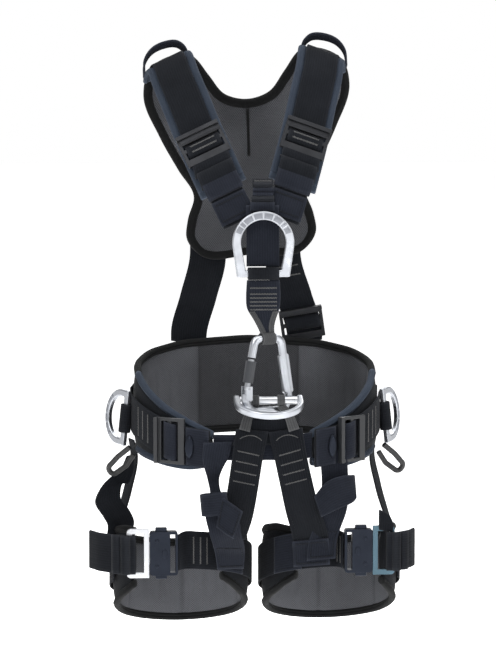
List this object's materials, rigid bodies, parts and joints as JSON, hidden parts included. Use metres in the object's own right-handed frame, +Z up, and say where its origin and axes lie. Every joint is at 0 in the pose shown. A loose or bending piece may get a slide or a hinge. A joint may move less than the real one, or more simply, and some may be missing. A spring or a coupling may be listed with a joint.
{
  "type": "tree climbing harness",
  "caption": "Full-body climbing and work-positioning harness: padded belt, leg loops and back, webbing, D-rings, chest connector and quick buckles.",
  "frame": {"origin": "centre of the wearer's waist, in the middle of the waist belt's ring", "axes": "+Z up, -Y to the wearer's front, +X to the right of somebody facing the harness"},
  "size_m": [0.3866, 0.2868, 0.7273],
  "materials": {
    "adjuster_black": "satin",
    "binding_black": "satin",
    "bright_steel": "polished",
    "forged_aluminium": "polished",
    "gate_sleeve": "gloss",
    "gunmetal": "satin",
    "mesh_liner": "matte",
    "steel_pin": "satin",
    "strap_padding": "matte",
    "webbing_black": "satin",
    "webbing_grey": "satin",
    "webbing_navy": "satin"
  },
  "bodies": {
    "root": {"back_pad": "mesh_liner", "back_binding": "binding_black", "dorsal_webbing": "webbing_black", "carry_loops": "webbing_black", "sternal_webbing": "webbing_navy", "sternal_connector": "webbing_navy", "back_strap_adjuster": "adjuster_black", "belt_pad": "mesh_liner", "belt_binding": "binding_black", "belt_webbing": "webbing_black", "front_band": "webbing_black", "ventral_panel": "webbing_black", "ventral_bridges": "webbing_grey", "side_riser_left": "webbing_navy", "shoulder_pad_left": "strap_padding", "shoulder_pad_right": "strap_padding", "chest_webbing_left": "webbing_black", "chest_webbing_right": "webbing_black", "shoulder_adjuster_left": "adjuster_black", "shoulder_adjuster_right": "adjuster_black", "back_strap_left": "webbing_navy", "back_strap_right": "webbing_navy", "belt_strap_left": "webbing_black", "belt_strap_right": "webbing_black", "belt_adjuster_left": "adjuster_black", "belt_adjuster_right": "adjuster_black", "gear_loop_left": "webbing_grey", "gear_loop_right": "webbing_grey", "leg_riser_left": "webbing_black", "leg_riser_right": "webbing_black", "leg_pad_left": "mesh_liner", "leg_pad_right": "mesh_liner", "leg_binding_left": "binding_black", "leg_binding_right": "binding_black", "leg_webbing_left": "webbing_black", "leg_webbing_right": "webbing_black", "leg_buckle_left": "gunmetal", "leg_buckle_right": "gunmetal", "hip_strap_left": "webbing_navy", "hip_strap_right": "webbing_navy", "rear_riser_left": "webbing_navy", "rear_riser_right": "webbing_navy"},
    "sternal_ring": {"sternal_ring": "forged_aluminium"},
    "carabiner": {"carabiner_body": "forged_aluminium", "gate_pin": "steel_pin"},
    "carabiner_gate": {"carabiner_gate": "forged_aluminium"},
    "carabiner_sleeve": {"carabiner_sleeve": "gate_sleeve"},
    "ventral_ring": {"ventral_ring": "forged_aluminium", "ventral_bar": "forged_aluminium"},
    "dorsal_ring": {"dorsal_ring": "forged_aluminium"},
    "side_ring_left": {"side_ring_left": "forged_aluminium"},
    "leg_tongue_left": {"leg_tongue_left": "bright_steel", "leg_strap_left": "webbing_black"},
    "leg_clip_upper_left": {"leg_clip_upper_left": "gunmetal"},
    "leg_clip_lower_left": {"leg_clip_lower_left": "gunmetal"},
    "side_ring_right": {"side_ring_right": "forged_aluminium"},
    "leg_tongue_right": {"leg_tongue_right": "bright_steel", "leg_strap_right": "webbing_black"},
    "leg_clip_upper_right": {"leg_clip_upper_right": "gunmetal"},
    "leg_clip_lower_right": {"leg_clip_lower_right": "gunmetal"}
  },
  "joints": [
    {"name": "sternal_ring_tip", "type": "hinge", "parent": "root", "child": "sternal_ring", "pos_m": [0, -0.118, 0.16], "axis": [1, 0, 0], "range_deg": [0, 110]},
    {"name": "carabiner_swing", "type": "hinge", "parent": "root", "child": "carabiner", "pos_m": [0.00459, -0.11855, 0.085], "axis": [0.891, 0.454, 0], "range_deg": [-1, 1]},
    {"name": "gate_open", "type": "hinge", "parent": "carabiner", "child": "carabiner_gate", "pos_m": [-0.01982, -0.13098, 0.0285], "axis": [-0.454, 0.891, 0], "range_deg": [0, 22], "stiffness_Nm_per_rad": 0.1, "springref_deg": -5.73},
    {"name": "sleeve_twist", "type": "hinge", "parent": "carabiner_gate", "child": "carabiner_sleeve", "pos_m": [-0.01982, -0.13098, 0.0285], "axis": [0.1578, 0.0804, 0.9842], "range_deg": [0, 90], "stiffness_Nm_per_rad": 0.01},
    {"name": "ventral_ring_tip", "type": "hinge", "parent": "root", "child": "ventral_ring", "pos_m": [0.006, -0.118, 0.013], "axis": [1, 0, 0], "range_deg": [-10, 12]},
    {"name": "dorsal_ring_tip", "type": "hinge", "parent": "root", "child": "dorsal_ring", "pos_m": [0.00073, 0.108, 0.23602], "axis": [0.9986, 0, 0.0523], "range_deg": [-110, 0]},
    {"name": "side_ring_swing_left", "type": "hinge", "parent": "root", "child": "side_ring_left", "pos_m": [-0.156, -0.012, -0.02], "axis": [0.1045, 0, 0.9945], "range_deg": [-8, 100]},
    {"name": "leg_tongue_release_left", "type": "slide", "parent": "root", "child": "leg_tongue_left", "axis": [-1, 0, 0], "range_m": [0, 0.03]},
    {"name": "leg_clip_squeeze_upper_left", "type": "slide", "parent": "root", "child": "leg_clip_upper_left", "axis": [0, 0, -1], "range_m": [0, 0.003], "stiffness_N_per_m": 300, "springref_m": -0.001},
    {"name": "leg_clip_squeeze_lower_left", "type": "slide", "parent": "root", "child": "leg_clip_lower_left", "axis": [0, 0, 1], "range_m": [0, 0.003], "stiffness_N_per_m": 300, "springref_m": -0.001},
    {"name": "side_ring_swing_right", "type": "hinge", "parent": "root", "child": "side_ring_right", "pos_m": [0.156, -0.012, -0.02], "axis": [-0.1045, 0, 0.9945], "range_deg": [-100, 8]},
    {"name": "leg_tongue_release_right", "type": "slide", "parent": "root", "child": "leg_tongue_right", "axis": [1, 0, 0], "range_m": [0, 0.03]},
    {"name": "leg_clip_squeeze_upper_right", "type": "slide", "parent": "root", "child": "leg_clip_upper_right", "axis": [0, 0, -1], "range_m": [0, 0.003], "stiffness_N_per_m": 300, "springref_m": -0.001},
    {"name": "leg_clip_squeeze_lower_right", "type": "slide", "parent": "root", "child": "leg_clip_lower_right", "axis": [0, 0, 1], "range_m": [0, 0.003], "stiffness_N_per_m": 300, "springref_m": -0.001}
  ]
}
